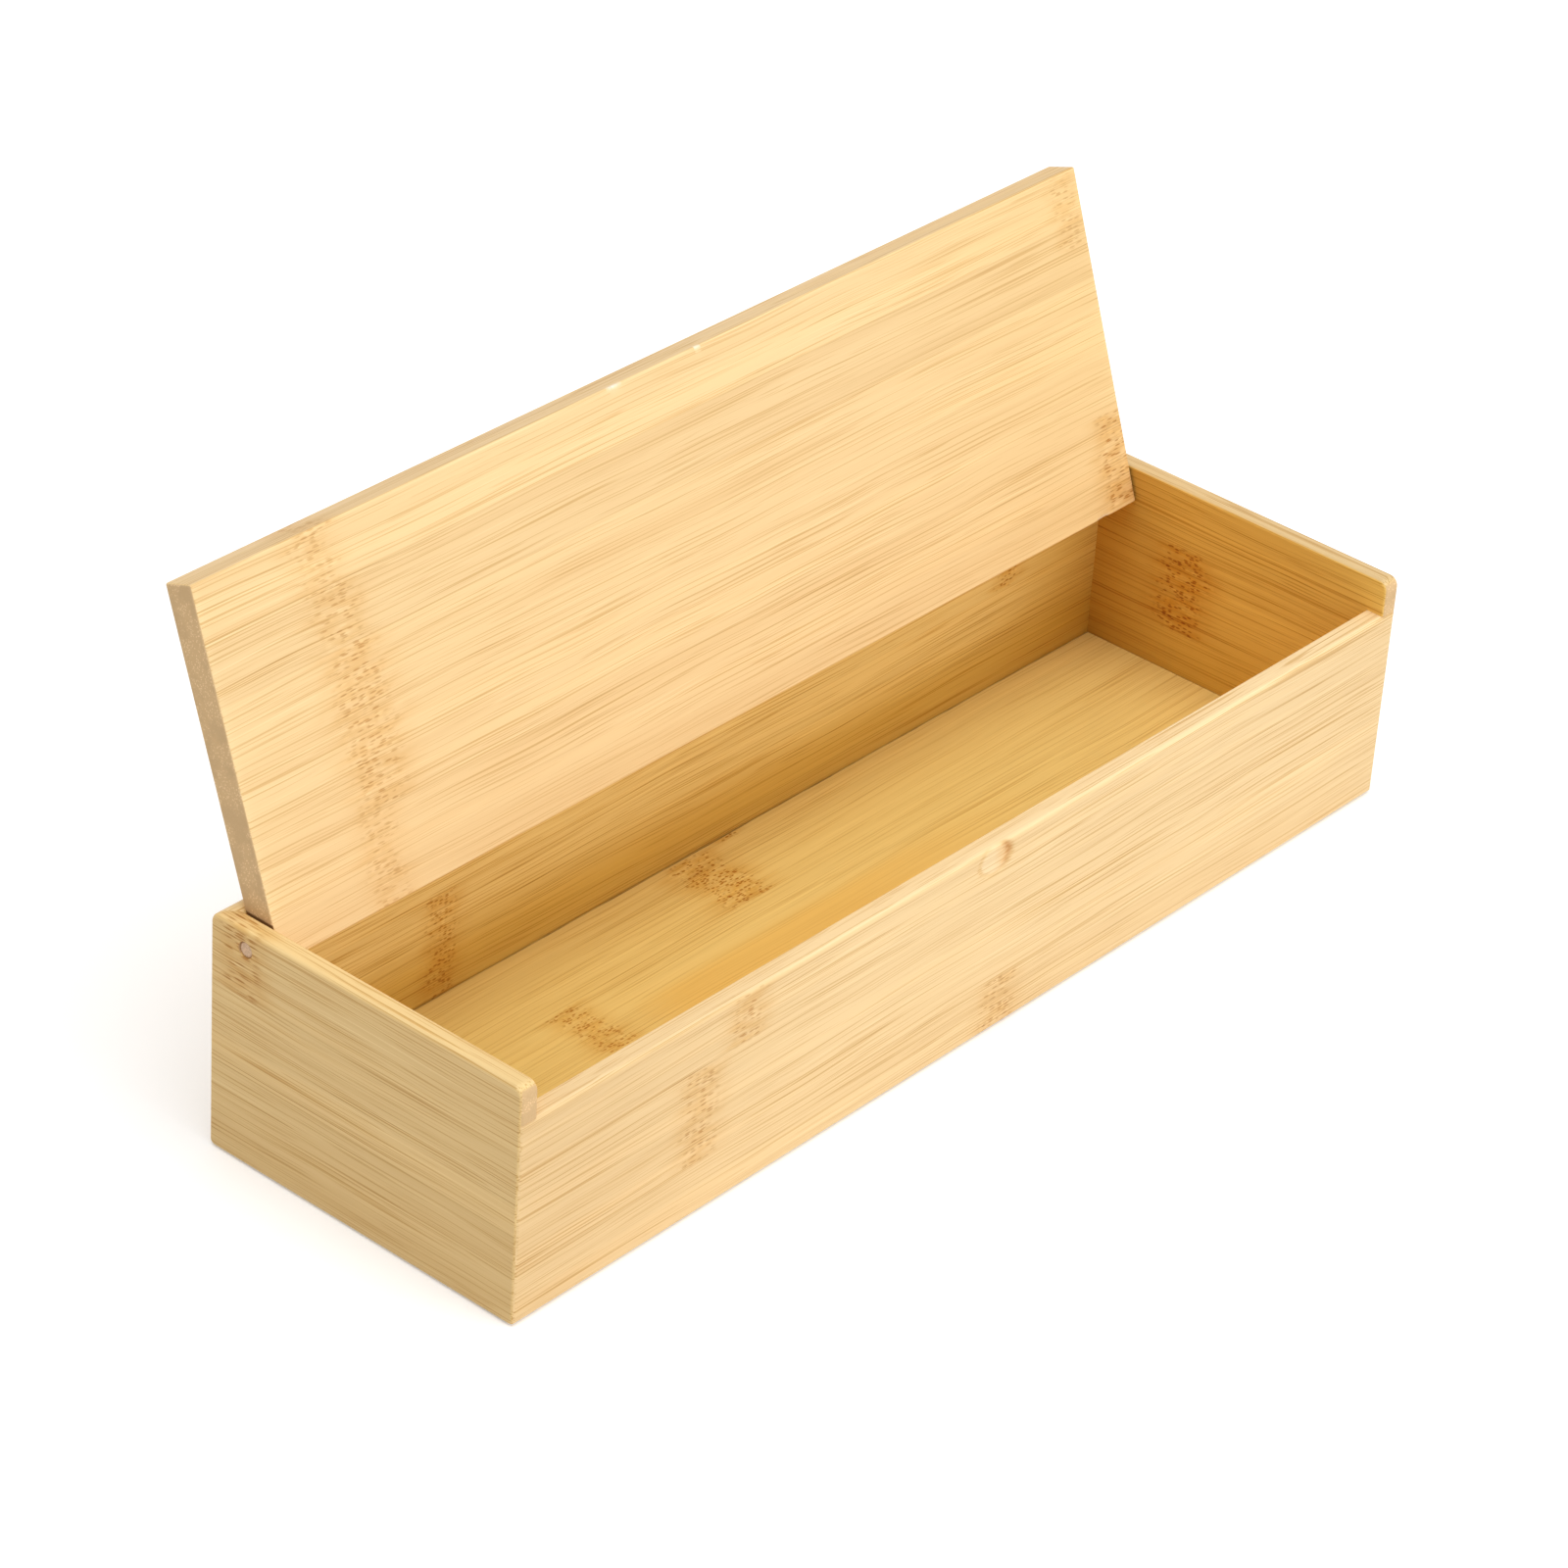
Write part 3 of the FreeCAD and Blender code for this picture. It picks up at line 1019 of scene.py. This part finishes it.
    def finished(self):
        """The material, with all of its paint, gloss and relief."""
        paint = self.edged(self.noded(self.streaked(self.ground())))
        if self.look.knot:
            paint = self.knotted(paint)
        gloss = (self.settings.roughness + swing for swing in ROUGHNESS_SWING)
        bare = self.times(self.maths("ADD", self.cut_end, self.dark_dash), BARE_ROUGHNESS)
        raised = self.maths("ADD", self.times(self.pale, PALE_HEIGHT), self.times(self.hair, HAIR_HEIGHT))
        height = self.maths("SUBTRACT", raised, self.times(self.dark_dash, DASH_DEPTH))
        return self.close({
            "Base Color": paint,
            "Roughness": self.maths("ADD", self.step(self.thin, *ROUGHNESS_NOISE, *gloss), bare),
            "Normal": self.relief(height),
            "Specular IOR Level": BOARD_SPECULAR,
        })


def dowel_wood(name):
    """Bare dowel: fine darker fibres along its side and as pores on its cut end, and a darker rim."""
    finish = Finish(name)
    colour = finish.settings.dowel_colour
    light, dark = (shade(colour, factor) for factor in DOWEL_SHADES)
    dowel = finish.point_in_mm(-hinge_place / MM)
    fibre = finish.fibres(dowel, DOWEL_FIBRE)
    _, y, z = finish.parts(dowel)
    from_axis = finish.maths("SQRT", finish.maths("ADD", finish.times(y, y), finish.times(z, z)))
    rim = finish.times(finish.step(from_axis, *DOWEL_RIM), DOWEL_RIM_STRENGTH)
    paint = finish.mix(finish.step(fibre, *DOWEL_FIBRE.shows), light, dark)
    return finish.close({
        "Base Color": finish.mix(rim, paint, shade(colour, DOWEL_RIM_SHADE)),
        "Roughness": DOWEL_ROUGHNESS,
        "Normal": finish.relief(fibre),
        "Specular IOR Level": DOWEL_SPECULAR,
    })


# One operator for each piece or pair of like pieces

def dress(node, material):
    """Puts a material in every slot of a CAD node."""
    for slot in frame["nodes"][node].material_slots:
        slot.material = material


class CUTLERY_OT_end_panels(bpy.types.Operator):
    """Dress the two end boards in bamboo with the grain from front to back"""
    bl_idname = "cutlery_box.end_panels"
    bl_label = "End Boards"

    def execute(self, context):
        settings = context.scene.cutlery_box.bamboo
        axes = BoardAxes(Y_AXIS, Z_AXIS)
        # Inner faces take their colour as lit inside and painted shade at their foot, the right end's inner
        # face darkens towards the back as painted shade, and long edge faces take a tint for side grain and
        # painted light
        left_inner = InnerFace(1, settings.end_inner_colour, settings.end_foot_shade_colour, foot_span=(34, 8))
        left = Look(
            axes, settings.left_colour, LEFT_BANDS, seams=(23, 43.5), dash=(4.2, 0.66), lines=1.6,
            seed=10, inner=left_inner,
        )
        right = Look(
            axes, settings.right_colour, RIGHT_BANDS, seams=(21.5, 44.5), dash=(1.6, 0.56), lines=1.4,
            seed=20, inner=left_inner._replace(side=-1), fade=ShadeFade(8, 40, (0.80, 0.72, 0.55)),
            long_edge_grain_and_light_tint=(0.92, 0.95, 1.05),
        )
        dress("left_end_panel", Bamboo("left end bamboo", left).finished())
        dress("right_end_panel", Bamboo("right end bamboo", right).finished())
        return {"FINISHED"}


class CUTLERY_OT_front_panel(bpy.types.Operator):
    """Make the front board with its mitres, groove and bud knot"""
    bl_idname = "cutlery_box.front_panel"
    bl_label = "Front Board"

    def execute(self, context):
        settings = context.scene.cutlery_box
        rings, attributes = front_surface(in_mm(settings.front))
        axes = BoardAxes(X_AXIS, Z_AXIS, Vector((0, front_low.y, front_low.z)))
        board = closed_tube("front_board", placed(rings, axes), attributes)
        # The front darkens towards its left end as painted shade, and its long edge faces are paler for
        # side grain and painted light
        look = Look(
            axes, settings.bamboo.front_colour, FRONT_BANDS, seams=(13.5, 38.5), dash=(2.4, 0.55),
            lines=1.2, seed=30, fade=ShadeFade(-40, -150, (0.91, 0.88, 0.84)), knot=True,
        )
        board.data.materials.append(Bamboo("front bamboo", look).finished())
        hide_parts("front_panel")
        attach(board, "box")
        return {"FINISHED"}


class CUTLERY_OT_back_panel(bpy.types.Operator):
    """Dress the back board in bamboo"""
    bl_idname = "cutlery_box.back_panel"
    bl_label = "Back Board"

    def execute(self, context):
        settings = context.scene.cutlery_box.bamboo
        # The inner face is paler up high as painted light and turns to painted shade at its foot, and its
        # right part darkens as painted shade
        inner = InnerFace(1, settings.back_inner_colour, settings.back_foot_shade_colour, foot_span=(34.5, 16.5))
        look = Look(
            BoardAxes(X_AXIS, Z_AXIS), settings.back_colour, BACK_BANDS, seams=(36.5,),
            dash=(1.5, 0.6), lines=1.7, seed=40, inner=inner, fade=ShadeFade(95, 140, (0.90, 0.83, 0.60)),
        )
        dress("back_panel", Bamboo("back bamboo", look).finished())
        return {"FINISHED"}


class CUTLERY_OT_floor_panel(bpy.types.Operator):
    """Dress the floor board in bamboo"""
    bl_idname = "cutlery_box.floor_panel"
    bl_label = "Floor Board"

    def execute(self, context):
        settings = context.scene.cutlery_box.bamboo
        # Seam lines at the floor's long edges are grime with painted shade, and its left part darkens as
        # painted shade
        look = Look(
            BoardAxes(X_AXIS, Y_AXIS), settings.floor_colour, FLOOR_BANDS, seams=(-2.3, 16.5),
            dash=(1.4, 0.6), lines=1.0, seed=50,
            warm_patch=WarmPatch(along=((-64, -46), (85, 5)), across=((9.5, 4), (-28, -6))),
            grime_and_shade_seams=(39.65, -39.65), fade=ShadeFade(-40, -140, (0.90, 0.88, 0.78)),
        )
        dress("floor_panel", Bamboo("floor bamboo", look).finished())
        return {"FINISHED"}


class CUTLERY_OT_lid_panel(bpy.types.Operator):
    """Make the lid with its bores and chipped edges, leaning open"""
    bl_idname = "cutlery_box.lid_panel"
    bl_label = "Lid Board"

    def execute(self, context):
        settings = context.scene.cutlery_box
        rings, attributes = lid_surface(in_mm(settings.lid))
        axes = lid_axes(settings.lid.thickness)
        board = closed_tube("lid_board", placed(rings, axes), attributes)
        # The lid's long edge faces get a darker tint as painted light, its right part darkens as painted
        # shade, and its cut ends get painted gap shade below the end boards' tops
        look = Look(
            axes, settings.bamboo.lid_colour, LID_BANDS, seams=(20.5, 57.5, 71.5), dash=(2.6, 0.5),
            lines=1.0, seed=60, fade=ShadeFade(40, 150, (0.98, 0.95, 0.87)), long_edge_grain_and_light_tint=(0.9, 0.87, 0.82),
            painted_gap_shade_below=box_high.z / MM,
        )
        board.data.materials.append(Bamboo("lid bamboo", look).finished())
        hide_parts("lid_panel")
        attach(board, "lid")
        return {"FINISHED"}


class CUTLERY_OT_pivot_pins(bpy.types.Operator):
    """Dress the two dowels that the lid turns on"""
    bl_idname = "cutlery_box.pivot_pins"
    bl_label = "Pivot Dowels"

    def execute(self, context):
        wood = dowel_wood("dowel wood")
        dress("left_pivot_pin", wood)
        dress("right_pivot_pin", wood)
        return {"FINISHED"}


# Stage

FLOOR_REACH = 6.0
FLOOR_GAP = 0.2 * MM
FLOOR_COLOUR = (0.86, 0.86, 0.86, 1)
FLOOR_LIFT = 0.28
FLOOR_ROUGHNESS = 0.9
FLOOR_SPECULAR = 0.1
KEY_DIRECTION = (0.2, -0.95, 0.3)
KEY_SPREAD = math.radians(40)
TOP_DIRECTION = (-0.05, -0.15, 0.98)
TOP_SPREAD = math.radians(50)
SENSOR_WIDTH = 36
CLIP_RANGE = (0.01, 50)


def pale_floor():
    """Finish of the stage's floor: pale, and lifted to white where it is seen and nothing shades it."""
    finish = Finish("pale floor")
    return finish.close({
        "Base Color": FLOOR_COLOUR, "Roughness": FLOOR_ROUGHNESS, "Specular IOR Level": FLOOR_SPECULAR,
        "Emission Color": WHITE, "Emission Strength": finish.times(finish.seen(), FLOOR_LIFT),
    })


def stage_floor():
    """A square floor just under the box."""
    below = cad_low.z - FLOOR_GAP
    corners = [(x * FLOOR_REACH, y * FLOOR_REACH, below) for x, y in ((-1, -1), (1, -1), (1, 1), (-1, 1))]
    mesh = bpy.data.meshes.new("stage_floor")
    mesh.from_pydata(corners, [], [(0, 1, 2, 3)])
    mesh.materials.append(pale_floor())
    return linked("stage_floor", mesh)


def white_surroundings(ambient):
    """A world that is white where it is seen, and lights the box with a share of that."""
    world = bpy.data.worlds.new("white surroundings")
    nodes = Nodes(world)
    strength = nodes.step(nodes.seen(), 0, 1, ambient, 1)
    sky = nodes.node("Background", {"Color": WHITE, "Strength": strength})[0]
    nodes.node("OutputWorld", {"Surface": sky})
    return world


def soft_lamp(name, direction, spread, strength):
    """A far lamp that shines from a direction, softened over an angle."""
    lamp = bpy.data.lights.new(name, "SUN")
    lamp.angle = spread
    lamp.energy = strength * math.pi
    holder = linked(name, lamp)
    holder.rotation_mode = "QUATERNION"
    holder.rotation_quaternion = Vector(direction).to_track_quat("Z", "Y")


def stage_camera(stage):
    """The camera at its place, aimed and then rolled about its own view."""
    camera = bpy.data.cameras.new("camera")
    camera.sensor_width = SENSOR_WIDTH
    camera.lens = stage.lens
    camera.clip_start, camera.clip_end = CLIP_RANGE
    holder = linked("camera", camera)
    place = Vector(stage.camera_place)
    view = (Vector(stage.camera_aim) - place).to_track_quat("-Z", "Y").to_matrix()
    turned = view @ Matrix.Rotation(stage.camera_roll, 3, "Z")
    holder.matrix_world = Matrix.Translation(place) @ turned.to_4x4()
    return holder


class CUTLERY_OT_stage(bpy.types.Operator):
    """Set the pale floor, the white surroundings, the lamps and the camera"""
    bl_idname = "cutlery_box.stage"
    bl_label = "Stage"

    def execute(self, context):
        scene = context.scene
        stage = scene.cutlery_box.stage
        ground = stage_floor()
        scene.world = white_surroundings(stage.ambient)
        soft_lamp("key lamp", KEY_DIRECTION, KEY_SPREAD, stage.key_strength)
        soft_lamp("top lamp", TOP_DIRECTION, TOP_SPREAD, stage.top_strength)
        scene.camera = stage_camera(stage)
        scene.view_settings.view_transform = "Standard"
        return {"FINISHED"}


class CUTLERY_PT_sidebar(bpy.types.Panel):
    """Lists the settings and the steps"""
    bl_idname = "CUTLERY_PT_sidebar"
    bl_label = "Cutlery Box"
    bl_space_type = "VIEW_3D"
    bl_region_type = "UI"
    bl_category = "Cutlery Box"

    def draw(self, context):
        settings = context.scene.cutlery_box
        for group in (settings.bamboo, settings.lid, settings.front, settings.stage):
            box = self.layout.box()
            for key in type(group).__annotations__:
                box.prop(group, key)
        for step in OPERATORS:
            self.layout.operator(step.bl_idname)


OPERATORS = (
    CUTLERY_OT_end_panels,
    CUTLERY_OT_front_panel,
    CUTLERY_OT_back_panel,
    CUTLERY_OT_floor_panel,
    CUTLERY_OT_lid_panel,
    CUTLERY_OT_pivot_pins,
    CUTLERY_OT_stage,
)
CLASSES = (
    BambooSettings, LidSettings, FrontSettings, StageSettings, CutleryBoxSettings,
    *OPERATORS, CUTLERY_PT_sidebar,
)


def register():
    for item in CLASSES:
        bpy.utils.register_class(item)
    bpy.types.Scene.cutlery_box = PointerProperty(type=CutleryBoxSettings)


def unregister():
    del bpy.types.Scene.cutlery_box
    for item in reversed(CLASSES):
        bpy.utils.unregister_class(item)


def main():
    register()
    bpy.ops.cutlery_box.end_panels()
    bpy.ops.cutlery_box.front_panel()
    bpy.ops.cutlery_box.back_panel()
    bpy.ops.cutlery_box.floor_panel()
    bpy.ops.cutlery_box.lid_panel()
    bpy.ops.cutlery_box.pivot_pins()
    bpy.ops.cutlery_box.stage()


if __name__ == "__main__":
    main()
